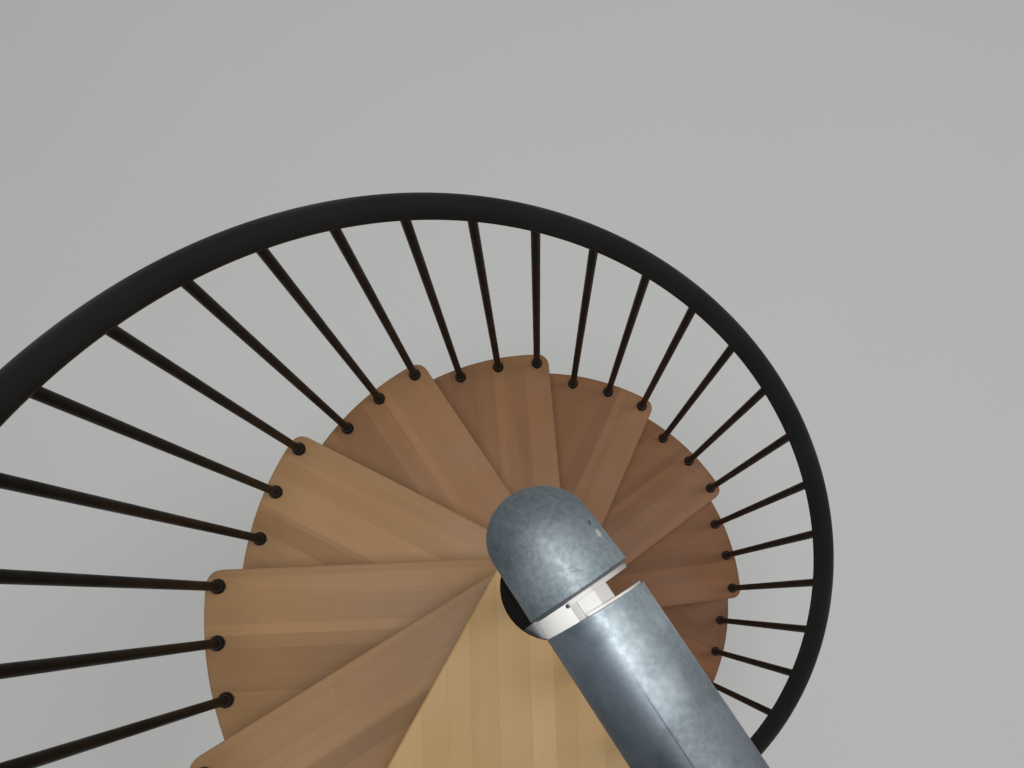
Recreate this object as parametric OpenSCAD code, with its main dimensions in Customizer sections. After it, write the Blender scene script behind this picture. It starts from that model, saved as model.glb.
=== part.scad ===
// Spiral staircase with wedge treads on a central pole, a helical handrail and a railed landing.
// Millimetres, +Z up. The origin is the centre of the base flange's underside, on the floor.
// The stair climbs counter-clockwise, seen from above.

/* [Flight] */
// Number of treads below the landing
step_count = 12; // [8:1:12]
// Height from one tread to the next
rise = 208; // [190:1:230]
// Angle from one tread to the next
pitch = 29.2; // [28:0.1:30]
// Direction of the first step up from the top tread, seen from above
exit_a = 238.4; // [230:0.1:240]

/* [Treads] */
// Radius of the outer edge of the treads
tread_r = 600; // [580:5:700]
// Thickness of a tread and of the landing
tread_t = 38; // [30:1:45]
// Radius of the round hub that the front and rear edges run into
hub_r = 71; // [66:1:80]
// Angle from a tread's middle baluster back to its front edge
nose_lead = 5.6; // [4:0.1:7]
// Rounding of a tread's outer corners
corner_r = 28; // [15:1:40]
// Rounding of a tread's upper and lower edges
edge_round = 3; // [2:0.5:8]

/* [Pole] */
// Diameter of the centre pole and of the newel post
pole_d = 40; // [36:1:60]
// Wall of the centre pole
pole_wall = 4; // [3:0.5:6]
// Diameter of the spacer sleeves between treads
sleeve_d = 90; // [76:1:110]
// Wall of a spacer sleeve
sleeve_wall = 4; // [3:0.5:8]
// Height of the rims at the ends of a spacer sleeve
sleeve_rim = 8; // [6:1:20]
// Bevel at the ends of a spacer sleeve
sleeve_bevel = 3; // [1:0.5:5]

/* [Base flange] */
// Diameter of the base flange
flange_d = 300; // [240:10:360]
// Thickness of the base flange
flange_t = 12; // [8:1:20]
// Diameter of the boss that holds the pole
boss_d = 70; // [64:1:90]
// Height of the boss above the flange
boss_h = 44; // [30:1:80]
// Number of floor bolts
bolt_count = 6; // [4:1:8]
// Diameter of the circle through the floor bolts
bolt_circle_d = 240; // [180:5:290]
// Diameter of a floor bolt's hole
bolt_hole_d = 13; // [9:0.5:17]

/* [Balusters] */
// Diameter of a baluster
baluster_d = 16; // [12:0.5:22]
// Distance from the outer edge of a tread to its balusters
baluster_inset = 24; // [18:1:40]
// Diameter of the collar round a baluster's foot
collar_d = 27; // [22:0.5:40]
// Height of the collar
collar_h = 14; // [8:0.5:20]
// Diameter of the nut under a tread
nut_d = 24; // [20:0.5:32]
// Height of the nut
nut_h = 10; // [6:0.5:16]
// Diameter of the floor foot under the first baluster
foot_d = 54; // [40:1:70]
// Thickness of the floor foot
foot_t = 6; // [4:0.5:10]

/* [Handrail] */
// Diameter of the handrail
handrail_d = 40; // [34:1:50]
// Height of the handrail's centre over the tread at its middle baluster
handrail_h = 1000; // [850:5:1100]
// Distance from the baluster circle out to the handrail's centre line
handrail_shift = 8; // [0:0.5:8]
// How far the handrail runs past its first and last baluster
handrail_overrun = 44; // [30:1:90]

/* [Landing rail] */
// Direction of the landing's rear edge and of the rail over it
rail_a = 295.5; // [285:0.5:310]
// Diameter of the landing rail's grey cover
rail_d = 41; // [36:0.5:50]
// Wall of the cover
cover_wall = 0.5; // [0.5:0.5:3]
// Wall of the light core inside the cover
core_wall = 2.5; // [1.5:0.5:4]
// Height of the landing rail's centre over the landing
rail_h = 975; // [850:5:1100]
// Sideways distance from the pole's centre to the landing rail's centre line
rail_shift = 6.5; // [0:0.5:9]
// Distance from the pole's centre back to the middle of the domed cap
dome_back = 14.5; // [0:0.5:30]
// Distance from the pole's centre to the cut end of the domed cap
cap_cut = 9.7; // [5:0.1:20]
// Width of the open gap between the cap and the rail
cap_gap = 10.9; // [6:0.1:30]
// How far the light core stands out of a cut end
core_lip = 0.6; // [0.3:0.1:3]
// Distance from the core's middle to the notch that opens its side in the gap
notch_side = 6.5; // [3:0.5:12]
// Distance from the top of the newel post to the landing rail's centre line
newel_drop = 42; // [34:1:60]
// Diameter of the cap on the newel post
newel_cap_d = 43.6; // [42:0.2:60]
// Distance that the newel post's cap stands forward under the landing rail
newel_cap_shift = 2.7; // [0:0.1:6]
// Height of the cap on the newel post
newel_cap_h = 8; // [5:1:20]
// Distance from the outer edge of the landing to the end post
end_post_inset = 44; // [40:1:90]
// Diameter of the end post
end_post_d = 40; // [30:1:45]
// Diameter of the end post's foot plate
post_foot_d = 74; // [60:1:78]
// Thickness of the foot plate
post_foot_t = 6; // [4:0.5:10]
// Number of balusters under the landing rail
landing_baluster_count = 4; // [3:1:5]

/* [Landing fixings] */
// Width of a landing bracket
bracket_w = 60; // [40:1:90]
// Length of each leaf of a landing bracket
bracket_leaf = 60; // [50:1:90]
// Thickness of a landing bracket
bracket_t = 6; // [4:0.5:8]
// Diameter of a bracket's fixing hole
bracket_hole_d = 9; // [7:0.5:12]
// Angle between the two landing brackets
bracket_spread = 34; // [20:1:40]

/* [Hidden] */

// Clearance between pieces that slide or seat on each other
clear = 0.3;
// Facets of plain round pieces
$fn = 64;

landing_z = (step_count + 1) * rise;
baluster_r = tread_r - baluster_inset;
handrail_cr = baluster_r + handrail_shift;
baluster_step = pitch / 3;
newel_top = landing_z + rail_h - newel_drop;
rail_z = landing_z + rail_h;
rail_start = cap_cut + cap_gap;
end_post_reach = tread_r - end_post_inset;
rail_end = end_post_reach + end_post_d / 2;
landing_baluster_pitch = end_post_reach / (landing_baluster_count + 1);
core_d = rail_d - 2 * cover_wall - 2 * clear;
bore_d = pole_d + 2 * clear;
hole_d = baluster_d + 2 * clear;

// Length of the newel post's spigot inside the pole
spigot_l = 90;
// Facets across the rounding of a tread's edge
edge_steps = 2;
// Handrail rings: sides round the section, and rings along one tread's angle
rail_sides = 20;
rings_per_step = 6;
handrail_parts = 4;
// Size of the light connector between the newel post and the landing rail
bar_inner = 5.5;
bar_outer = 9.7;
bar_h = 12;
bar_bevel = 1.2;
bar_slope = 5.5;
bar_back = 12;
bar_front = 70;
stem_d = 12;
plate_rim = 1.4;
plate_t = 3;
plate_bevel = 1.8;
plate_setback = 2.6;

wood = [0.60, 0.48, 0.36];
pale_wood = [0.74, 0.62, 0.42];
black_steel = [0.06, 0.06, 0.07];
black_rail = [0.10, 0.11, 0.11];
grey_cover = [0.47, 0.52, 0.56];
light_core = [0.86, 0.83, 0.74];
steel = [0.70, 0.70, 0.70];

// Angle of tread n's middle baluster, counted from 1 at the bottom
function tread_a(n) = exit_a - (step_count + 1 - n) * pitch;
// Height of tread n's top
function tread_z(n) = n * rise;
// Angle of baluster j of tread n: -1 front, 0 middle, 1 rear, 2 front of the next tread
function baluster_a(n, j) = tread_a(n) + j * baluster_step;
// Height of the handrail's centre line at angle a
function handrail_z(a) = tread_z(1) + handrail_h + (a - tread_a(1)) * rise / pitch;

first_a = baluster_a(1, -1);
last_a = baluster_a(step_count + 1, -1);
overrun_a = handrail_overrun / handrail_cr * 180 / PI;
handrail_a0 = first_a - overrun_a;
handrail_a1 = last_a + overrun_a;
handrail_slope = atan(rise / (pitch * PI / 180 * handrail_cr));

// Points on an arc about c
function arc(c, r, a0, a1, n) = [for (i = [0 : n]) let (a = a0 + (a1 - a0) * i / n) c + r * [cos(a), sin(a)]];
// Centre of a corner rounding between the outer edge and a side edge, side -1 front or 1 rear
function corner_c(a, side, r, hub, outer) =
    let (along = sqrt(pow(outer - r, 2) - pow(hub - r, 2)))
    along * [cos(a), sin(a)] + side * (hub - r) * [-sin(a), cos(a)];
// Wedge outline round the pole, with its front edge towards front_a and its rear edge towards rear_a
function wedge(front_a, rear_a, outer, hub, corner) =
    let (
        cf = corner_c(front_a, -1, corner, hub, outer),
        cr = corner_c(rear_a, 1, corner, hub, outer),
        af = front_a + atan2(cf[1] * cos(front_a) - cf[0] * sin(front_a), cf[0] * cos(front_a) + cf[1] * sin(front_a)),
        ar = rear_a + atan2(cr[1] * cos(rear_a) - cr[0] * sin(rear_a), cr[0] * cos(rear_a) + cr[1] * sin(rear_a))
    )
    concat(
        arc(cf, corner, front_a - 90, af, 5),
        arc([0, 0], outer, af, ar, ceil((ar - af) / 2.2)),
        arc(cr, corner, ar, rear_a + 90, 5),
        arc([0, 0], hub, rear_a + 90, front_a + 270, 14)
    );

// Plate of the wedge outline, lofted through rings that round its edges
module wedge_plate(front_a, rear_a) {
    inset = [for (i = [0 : edge_steps]) edge_round * (1 - sin(90 * i / edge_steps))];
    level = [for (i = [0 : edge_steps]) edge_round * (1 - cos(90 * i / edge_steps))];
    under = [
        for (i = [0 : edge_steps])
            [for (p = wedge(front_a, rear_a, tread_r - inset[i], hub_r - inset[i], corner_r - inset[i])) [p[0], p[1], level[i]]]
    ];
    over = [for (i = [edge_steps : -1 : 0]) [for (p = under[i]) [p[0], p[1], tread_t - p[2]]]];
    loft(concat(under, over));
}

// Closed solid through rings of points, from the lowest ring to the highest
module loft(rings) {
    sides = len(rings[0]);
    last = (len(rings) - 1) * sides;
    walls = [
        for (k = [0 : len(rings) - 2])
            for (i = [0 : sides - 1])
                let (j = (i + 1) % sides, p = k * sides)
                each [
                    [p + i, p + sides + i, p + sides + j],
                    [p + i, p + sides + j, p + j]
                ]
    ];
    start = [for (i = [0 : sides - 1]) i];
    end = [for (i = [sides - 1 : -1 : 0]) last + i];
    polyhedron(points = [for (ring = rings) each ring], faces = concat(walls, [start], [end]), convexity = 6);
}

// Hole for a baluster through a plate
module baluster_hole(a) {
    rotate([0, 0, a]) translate([baluster_r, 0, -1]) cylinder(d = hole_d, h = tread_t + 2);
}

module tread(n) {
    color(wood)
        translate([0, 0, tread_z(n) - tread_t])
        difference() {
            wedge_plate(tread_a(n) - nose_lead, tread_a(n) + nose_lead + baluster_step);
            translate([0, 0, -1]) cylinder(d = bore_d, h = tread_t + 2);
            for (j = [-1 : 2]) baluster_hole(baluster_a(n, j));
        }
}

module landing_platform() {
    color(pale_wood)
        translate([0, 0, landing_z - tread_t])
        difference() {
            wedge_plate(exit_a - nose_lead, rail_a);
            translate([0, 0, -1]) cylinder(d = bore_d, h = tread_t + 2);
            baluster_hole(last_a);
            rotate([0, 0, rail_a])
                for (i = [1 : landing_baluster_count])
                    translate([i * landing_baluster_pitch, rail_shift, -1]) cylinder(d = hole_d, h = tread_t + 2);
        }
}

module landing_brackets() {
    color(steel)
        for (side = [-1, 1])
            rotate([0, 0, (exit_a - nose_lead + rail_a) / 2 + side * bracket_spread / 2])
            translate([0, -bracket_w / 2, landing_z - tread_t])
            difference() {
                union() {
                    translate([tread_r + clear - bracket_leaf, 0, -bracket_t]) cube([bracket_leaf, bracket_w, bracket_t]);
                    translate([tread_r + clear, 0, -bracket_leaf]) cube([bracket_t, bracket_w, bracket_leaf]);
                }
                for (y = [bracket_w / 4, bracket_w * 3 / 4])
                    translate([tread_r - 1, y, -bracket_leaf * 0.6])
                    rotate([0, 90, 0]) cylinder(d = bracket_hole_d, h = bracket_t + 3);
            }
}

module base_flange() {
    color(black_steel)
        difference() {
            rotate_extrude()
                polygon([
                    [0, 0], [flange_d / 2, 0], [flange_d / 2, flange_t - 3], [flange_d / 2 - 3, flange_t],
                    [boss_d / 2 + 6, flange_t], [boss_d / 2, flange_t + 6],
                    [boss_d / 2, flange_t + boss_h], [0, flange_t + boss_h]
                ]);
            translate([0, 0, flange_t]) cylinder(d = bore_d, h = boss_h + 1);
            for (i = [0 : bolt_count - 1])
                rotate([0, 0, (i + 0.5) * 360 / bolt_count])
                translate([bolt_circle_d / 2, 0, -1]) cylinder(d = bolt_hole_d, h = flange_t + 2);
        }
}

module centre_pole() {
    color(black_steel)
        translate([0, 0, flange_t])
        difference() {
            cylinder(d = pole_d, h = landing_z - flange_t);
            translate([0, 0, -1]) cylinder(d = pole_d - 2 * pole_wall, h = landing_z);
        }
}

// Hollow spacer sleeve of height h that stands on z = 0, with a rim at each end that centres it on the pole
module sleeve(h) {
    r = sleeve_d / 2;
    rotate_extrude()
        polygon([
            [bore_d / 2, 0], [r - sleeve_bevel, 0], [r, sleeve_bevel],
            [r, h - sleeve_bevel], [r - sleeve_bevel, h], [bore_d / 2, h],
            [bore_d / 2, h - sleeve_rim], [r - sleeve_wall, h - sleeve_rim],
            [r - sleeve_wall, sleeve_rim], [bore_d / 2, sleeve_rim]
        ]);
}

module column_spacers() {
    color(black_steel) {
        translate([0, 0, flange_t + boss_h]) sleeve(rise - tread_t - flange_t - boss_h);
        for (n = [1 : step_count])
            translate([0, 0, tread_z(n)]) sleeve(rise - tread_t);
    }
}

// Baluster at angle a from height z0 up to the handrail, its top coped to the rail's underside
module baluster(a, z0) {
    top = handrail_z(a);
    rotate([0, 0, a])
        difference() {
            translate([baluster_r, 0, z0]) cylinder(d = baluster_d, h = top - z0, $fn = 32);
            translate([handrail_cr, 0, top])
                rotate([handrail_slope - 90, 0, 0])
                cylinder(d = handrail_d + 2 * clear, h = 4 * handrail_d, center = true);
        }
}

module balusters(n) {
    below = n == 1 ? foot_t : tread_z(n - 1) - tread_t - nut_h;
    color(black_steel) {
        baluster(baluster_a(n, -1), below);
        for (j = [0, 1]) baluster(baluster_a(n, j), tread_z(n) - tread_t - nut_h);
    }
}

module exit_baluster() {
    color(black_steel)
        baluster(last_a, tread_z(step_count) - tread_t - nut_h);
}

// Round collar that stands on z = 0
module collar() {
    rotate_extrude()
        polygon([
            [hole_d / 2, 0], [collar_d / 2, 0], [collar_d / 2, collar_h * 0.55],
            [collar_d / 2 - 1.6, collar_h * 0.85], [hole_d / 2 + 1.8, collar_h], [hole_d / 2, collar_h]
        ]);
}

// Ring nut that hangs from z = 0
module nut() {
    translate([0, 0, -nut_h])
        difference() {
            cylinder(d = nut_d, h = nut_h);
            translate([0, 0, -1]) cylinder(d = hole_d, h = nut_h + 2);
        }
}

module at_baluster(a, z) {
    rotate([0, 0, a]) translate([baluster_r, 0, z]) children();
}

module at_landing_baluster(i, z) {
    rotate([0, 0, rail_a]) translate([i * landing_baluster_pitch, rail_shift, z]) children();
}

module baluster_collars() {
    color(black_steel) {
        for (n = [1 : step_count])
            for (j = [-1 : 2]) at_baluster(baluster_a(n, j), tread_z(n)) collar();
        at_baluster(last_a, landing_z) collar();
        for (i = [1 : landing_baluster_count]) at_landing_baluster(i, landing_z) collar();
    }
}

module baluster_nuts() {
    color(black_steel) {
        for (n = [1 : step_count])
            for (j = [-1 : 2]) at_baluster(baluster_a(n, j), tread_z(n) - tread_t) nut();
        at_baluster(last_a, landing_z - tread_t) nut();
        for (i = [1 : landing_baluster_count]) at_landing_baluster(i, landing_z - tread_t) nut();
    }
}

module floor_foot() {
    color(black_steel)
        at_baluster(first_a, 0) cylinder(d = foot_d, h = foot_t);
}

// Ring of points round the handrail's centre line at angle a
function rail_ring(a) =
    let (
        c = [handrail_cr * cos(a), handrail_cr * sin(a), handrail_z(a)],
        out = [cos(a), sin(a), 0],
        up = [sin(handrail_slope) * sin(a), -sin(handrail_slope) * cos(a), cos(handrail_slope)]
    )
    [for (i = [0 : rail_sides - 1]) let (t = 360 * i / rail_sides) c + handrail_d / 2 * (cos(t) * out + sin(t) * up)];

// Length of handrail between two angles
module handrail_piece(a0, a1) {
    rings = ceil((a1 - a0) / pitch * rings_per_step);
    loft([for (k = [0 : rings]) rail_ring(a0 + (a1 - a0) * k / rings)]);
}

module handrail(part) {
    span = (handrail_a1 - handrail_a0) / handrail_parts;
    color(black_rail)
        handrail_piece(handrail_a0 + (part - 1) * span, handrail_a0 + part * span);
}

// Half ball that closes the handrail at angle a, side -1 lower end or 1 upper end
module rail_end_cap(a, side) {
    rotate([0, 0, a])
        translate([handrail_cr, 0, handrail_z(a)])
        rotate([handrail_slope - 90 * side, 0, 0])
        rotate_extrude()
        intersection() {
            circle(d = handrail_d);
            square(handrail_d);
        }
}

module handrail_ends() {
    color(black_rail) {
        rail_end_cap(handrail_a0, -1);
        rail_end_cap(handrail_a1, 1);
    }
}

// Local frame of the newel post's cap: +X along the landing rail
module newel_cap_frame(z) {
    rotate([0, 0, rail_a]) translate([newel_cap_shift, 0, z]) children();
}

module newel_post() {
    color(black_steel) {
        translate([0, 0, landing_z])
            cylinder(d = pole_d, h = newel_top - landing_z - newel_cap_h);
        newel_cap_frame(newel_top - newel_cap_h)
            rotate_extrude()
            polygon([
                [0, 0], [newel_cap_d / 2 - 1.5, 0], [newel_cap_d / 2, 1.5], [newel_cap_d / 2, newel_cap_h - 0.6],
                [newel_cap_d / 2 - 0.6, newel_cap_h], [0, newel_cap_h]
            ]);
        translate([0, 0, landing_z - spigot_l])
            cylinder(d = pole_d - 2 * pole_wall - 2 * clear, h = spigot_l);
    }
}

// Local frame of the landing rail: +X along the rail, origin under the rail's centre line
module rail_frame(z) {
    rotate([0, 0, rail_a]) translate([0, rail_shift, z]) children();
}

// Foot of the connector: a disc on the newel post's cap, cut back beside the stem behind the gap
module connector_foot() {
    strip = stem_d / 2 + 1;
    plate_r = newel_cap_d / 2 - plate_rim;
    cut_l = newel_cap_d + cap_cut + plate_setback - newel_cap_shift;
    newel_cap_frame(newel_top)
        difference() {
            rotate_extrude()
                polygon([
                    [0, 0], [plate_r, 0], [plate_r, plate_t - plate_bevel], [plate_r - plate_bevel, plate_t], [0, plate_t]
                ]);
            translate([-newel_cap_d, rail_shift - strip - newel_cap_d, -1]) cube([cut_l, newel_cap_d, plate_t + 2]);
            translate([-newel_cap_d, rail_shift + strip, -1]) cube([cut_l, newel_cap_d, plate_t + 2]);
        }
}

module rail_connector() {
    color(light_core) {
        connector_foot();
        rail_frame(newel_top + plate_t)
            cylinder(d = stem_d, h = rail_z - bar_h / 2 - newel_top - plate_t);
        rail_frame(rail_z)
            translate([-bar_back, 0, 0])
            rotate([90, 0, 90])
            linear_extrude(height = bar_back + bar_front)
            polygon([
                [-bar_inner, -bar_h / 2], [bar_outer, -bar_h / 2], [bar_outer, bar_h / 2 - bar_bevel],
                [bar_outer - bar_slope, bar_h / 2], [-bar_inner + bar_bevel, bar_h / 2],
                [-bar_inner, bar_h / 2 - bar_bevel]
            ]);
    }
}

// Tube along the landing rail from x0 to x1
module rail_tube(x0, x1, d, wall) {
    rail_frame(rail_z)
        translate([x0, 0, 0])
        rotate([0, 90, 0])
        difference() {
            cylinder(d = d, h = x1 - x0);
            translate([0, 0, -1]) cylinder(d = d - 2 * wall, h = x1 - x0 + 2);
        }
}

// Open slot under the domed cap, in which the connector's stem stands, so that the cap can slide
module stem_slot() {
    slot_w = stem_d + 2 * clear;
    rail_frame(rail_z)
        translate([-cap_gap, 0, -rail_d]) {
            cylinder(d = slot_w, h = rail_d);
            translate([0, -slot_w / 2, 0]) cube([rail_d + cap_gap, slot_w, rail_d]);
        }
}

module rail_dome() {
    color(grey_cover)
        difference() {
            rail_frame(rail_z)
                translate([-dome_back, 0, 0])
                rotate([0, 90, 0])
                difference() {
                    union() {
                        sphere(d = rail_d);
                        cylinder(d = rail_d, h = dome_back + cap_cut);
                    }
                    cylinder(d = rail_d - 2 * cover_wall, h = dome_back + cap_cut + 1);
                }
            stem_slot();
        }
}

module rail_dome_core() {
    color(light_core)
        difference() {
            rail_tube(-dome_back, cap_cut + core_lip, core_d, core_wall);
            stem_slot();
        }
}

module landing_rail() {
    color(grey_cover) rail_tube(rail_start, rail_end, rail_d, cover_wall);
}

// Core of the landing rail. It crosses the gap up to the cap's core, with a notch that opens its outer side there
module landing_rail_core() {
    color(light_core)
        difference() {
            rail_tube(cap_cut + core_lip + clear, rail_end, core_d, core_wall);
            rail_frame(rail_z)
                translate([0, -notch_side, -rail_d / 2])
                cube([rail_start - core_lip, rail_d, rail_d]);
        }
}

module landing_rail_end() {
    color(grey_cover)
        rail_frame(rail_z)
        translate([rail_end, 0, 0])
        rotate([0, 90, 0])
        rotate_extrude()
        intersection() {
            circle(d = rail_d);
            square(rail_d);
        }
}

// Upright from z0 to the landing rail's underside, coped to it
module rail_upright(x, d, z0) {
    rail_frame(0)
        difference() {
            translate([x, 0, z0]) cylinder(d = d, h = rail_z - z0);
            translate([x - d, 0, rail_z]) rotate([0, 90, 0]) cylinder(d = rail_d + 2 * clear, h = 2 * d);
        }
}

module landing_balusters() {
    color(black_steel)
        for (i = [1 : landing_baluster_count])
            rail_upright(i * landing_baluster_pitch, baluster_d, landing_z - tread_t - nut_h);
}

module end_post() {
    color(black_steel) rail_upright(end_post_reach, end_post_d, landing_z + post_foot_t);
}

module end_post_foot() {
    color(black_steel)
        rail_frame(landing_z) translate([end_post_reach, 0, 0]) cylinder(d = post_foot_d, h = post_foot_t);
}

base_flange();
centre_pole();
column_spacers();
tread(1);  // tread_01
tread(2);  // tread_02
tread(3);  // tread_03
tread(4);  // tread_04
tread(5);  // tread_05
tread(6);  // tread_06
tread(7);  // tread_07
tread(8);  // tread_08
tread(9);  // tread_09
tread(10);  // tread_10
tread(11);  // tread_11
tread(12);  // tread_12
landing_platform();
landing_brackets();
balusters(1);  // balusters_01
balusters(2);  // balusters_02
balusters(3);  // balusters_03
balusters(4);  // balusters_04
balusters(5);  // balusters_05
balusters(6);  // balusters_06
balusters(7);  // balusters_07
balusters(8);  // balusters_08
balusters(9);  // balusters_09
balusters(10);  // balusters_10
balusters(11);  // balusters_11
balusters(12);  // balusters_12
exit_baluster();
baluster_collars();
baluster_nuts();
floor_foot();
handrail(1);  // handrail_1
handrail(2);  // handrail_2
handrail(3);  // handrail_3
handrail(4);  // handrail_4
handrail_ends();
newel_post();
rail_connector();
rail_dome();
rail_dome_core();
landing_rail();
landing_rail_core();
landing_rail_end();
landing_balusters();
end_post();
end_post_foot();
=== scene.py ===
"""Looks of a spiral staircase with laminated treads, a helical handrail and a railed landing.

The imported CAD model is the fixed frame. Lengths are metres and angles are degrees unless a name says
otherwise. The stair climbs counter-clockwise round the Z axis.
"""

import logging
import math
from dataclasses import dataclass, field
from enum import Enum

import bmesh
import bpy
from bmesh.types import BMEdge, BMesh, BMVert
from mathutils import Matrix, Vector


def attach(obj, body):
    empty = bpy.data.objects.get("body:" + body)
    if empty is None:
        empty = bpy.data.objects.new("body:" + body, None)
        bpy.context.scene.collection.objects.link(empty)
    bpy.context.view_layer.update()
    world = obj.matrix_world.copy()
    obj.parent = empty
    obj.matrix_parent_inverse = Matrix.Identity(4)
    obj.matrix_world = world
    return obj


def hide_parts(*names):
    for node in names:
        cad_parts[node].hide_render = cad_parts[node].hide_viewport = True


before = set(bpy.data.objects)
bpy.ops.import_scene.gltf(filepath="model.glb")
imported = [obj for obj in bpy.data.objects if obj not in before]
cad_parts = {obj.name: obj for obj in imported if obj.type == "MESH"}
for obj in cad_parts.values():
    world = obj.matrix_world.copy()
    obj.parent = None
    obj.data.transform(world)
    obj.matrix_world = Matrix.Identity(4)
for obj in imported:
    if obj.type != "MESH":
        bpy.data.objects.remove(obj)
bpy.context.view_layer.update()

LOG = logging.getLogger("spiral_stair")
Pair = tuple[float, float]
Triple = tuple[float, float, float]
Colour = Triple
Profile = list[Pair]
Material = bpy.types.Material
Socket = bpy.types.NodeSocket
Value = Socket | float | Triple

TREADS = 12
RISE = 0.208
PITCH = 29.2
EXIT_ANGLE = 238.4
RAIL_ANGLE = 295.5
RAIL_SHIFT = 0.0065
BACKDROP = (0.50, 0.505, 0.50)


class Drive(Enum):
    """Shape of the recess or head that turns a fastener."""

    HEXAGON = "hexagon"
    SOCKET = "socket"
    CROSS = "cross"


class Graph:
    """The nodes of a new material or world, and short ways to add and join them."""

    def __init__(self, holder: Material | bpy.types.World) -> None:
        """Takes a material or world and empties its nodes.

        Args:
            holder: The material or world.
        """
        holder.use_nodes = True
        self.holder, self.tree = holder, holder.node_tree
        self.tree.nodes.clear()

    def add(self, kind: str, inputs: dict | None = None, **settings: str) -> bpy.types.Node:
        """Adds a node.

        Args:
            kind: Node type without its "ShaderNode" start.
            inputs: Input name or index to a value or an output socket.
            settings: Properties of the node.

        Returns:
            The node.
        """
        node = self.tree.nodes.new("ShaderNode" + kind)
        for key, value in settings.items():
            setattr(node, key, value)
        for key, value in (inputs or {}).items():
            self.feed(node.inputs[key], value)
        return node

    def feed(self, socket: Socket, value: Value) -> None:
        """Links a socket to an output, or sets its value.

        Args:
            socket: Input socket.
            value: Output socket, number, colour or vector.
        """
        if isinstance(value, Socket):
            self.tree.links.new(value, socket)
        else:
            socket.default_value = (*value, 1.0) if socket.type == "RGBA" else value

    def math(self, operation: str, *values: Value) -> Socket:
        """Adds a Math node with up to three numbers or sockets."""
        return self.add("Math", dict(enumerate(values)), operation=operation).outputs[0]

    def ramp(self, value: Value, low: float, high: float, at_low: float = 0, at_high: float = 1) -> Socket:
        """Maps a value smoothly from the range low to high to that of at_low to at_high, clamped."""
        inputs = dict(enumerate((value, low, high, at_low, at_high)))
        return self.add("MapRange", inputs, interpolation_type="SMOOTHSTEP").outputs[0]

    def blend(self, factor: Value, low: Value, high: Value, mode: str = "MIX") -> Socket:
        """Mixes two colours.

        Args:
            factor: Socket or number from 0 to 1.
            low: Colour or socket at 0.
            high: Colour or socket at 1.
            mode: Blend mode.

        Returns:
            The colour's socket.
        """
        node = self.add("Mix", data_type="RGBA", blend_type=mode)
        for index, value in ((0, factor), (6, low), (7, high)):
            self.feed(node.inputs[index], value)
        return node.outputs[2]

    def dim(self, colour: Value, red: Value, green: Value, blue: Value) -> Socket:
        """Multiplies the channels of a colour by one factor each."""
        factors = self.add("CombineXYZ", {0: red, 1: green, 2: blue}).outputs[0]
        return self.blend(1.0, colour, factors, "MULTIPLY")

    def noise(self, at: Value, scale: float, detail: float, rough: float = 0.5, **more: float) -> Socket:
        """Adds a 3-D Noise Texture with scale waves in a metre, and gives its value."""
        inputs = {"Vector": at, "Scale": scale, "Detail": detail, "Roughness": rough, **more}
        return self.add("TexNoise", inputs).outputs["Fac"]

    def place(self, turn: float = 0.0, shift: Triple = (0.0, 0.0, 0.0)) -> Socket:
        """Object coordinates, turned about Z and then shifted."""
        inputs = {"Vector": self.add("TexCoord").outputs["Object"], "Location": shift}
        return self.add("Mapping", {**inputs, "Rotation": (0.0, 0.0, math.radians(turn))}).outputs["Vector"]

    def along(self, turn: float, axis: str = "X") -> Socket:
        """Distance along one axis of the turned object coordinates."""
        return self.add("SeparateXYZ", {0: self.place(turn)}).outputs[axis]

    def facing(self, angle: float) -> Socket:
        """How far the surface faces a level direction.

        Args:
            angle: Angle of the direction.

        Returns:
            Socket that is 1 where the surface faces that way and -1 where it faces away.
        """
        normal, turn = self.add("TexCoord").outputs["Normal"], math.radians(angle)
        way = (math.cos(turn), math.sin(turn), 0.0)
        return self.add("VectorMath", {0: normal, 1: way}, operation="DOT_PRODUCT").outputs["Value"]

    def stretch(self, vector: Value, *factors: float) -> Socket:
        """Multiplies coordinates by factors along X, Y and Z."""
        return self.add("VectorMath", {0: vector, 1: factors}, operation="MULTIPLY").outputs[0]

    def relief(self, height: Value, distance: float, strength: float, under: Socket | None = None) -> Socket:
        """Adds a Bump node.

        Args:
            height: Socket from 0 to 1.
            distance: Metres that a height of 1 stands up.
            strength: Bump strength.
            under: Normal of another Bump node that this one lies on.

        Returns:
            The normal's socket.
        """
        node = self.add("Bump", {"Height": height, "Distance": distance, "Strength": strength})
        if under is not None:
            self.feed(node.inputs["Normal"], under)
        return node.outputs["Normal"]

    def seen(self) -> Socket:
        """Tells what shows the surface from what only takes light from it.

        Returns:
            Socket that is 1 for a view, a reflection or glass, and 0 for light.
        """
        path = self.add("LightPath").outputs
        direct = self.math("MAXIMUM", path["Is Camera Ray"], path["Is Glossy Ray"])
        return self.math("MAXIMUM", direct, path["Is Transmission Ray"])

    def shader(self, colour: Value, roughness: Value, normal: Socket | None = None, **fixed: float) -> Socket:
        """Adds a Principled shader.

        Args:
            colour: Colour socket or tuple.
            roughness: Roughness socket or number.
            normal: Normal socket.
            fixed: Uniform values by socket name, with underscores for spaces.

        Returns:
            The shader's socket.
        """
        inputs = {"Base Color": colour, "Roughness": roughness}
        inputs.update((key.replace("_", " "), value) for key, value in fixed.items())
        if normal is not None:
            inputs["Normal"] = normal
        return self.add("BsdfPrincipled", inputs).outputs[0]


@dataclass(frozen=True)
class Finish:
    """A procedural finish, which a workshop builds once under its name."""

    name: str

    def surface(self, g: Graph) -> Socket:
        """Adds the nodes of the finish to a graph, and gives its shader's socket."""
        raise NotImplementedError

    def material(self) -> Material:
        """Builds the finish.

        Returns:
            The material.
        """
        g = Graph(bpy.data.materials.new(self.name))
        g.add("OutputMaterial", {"Surface": self.surface(g)})
        return g.holder


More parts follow.
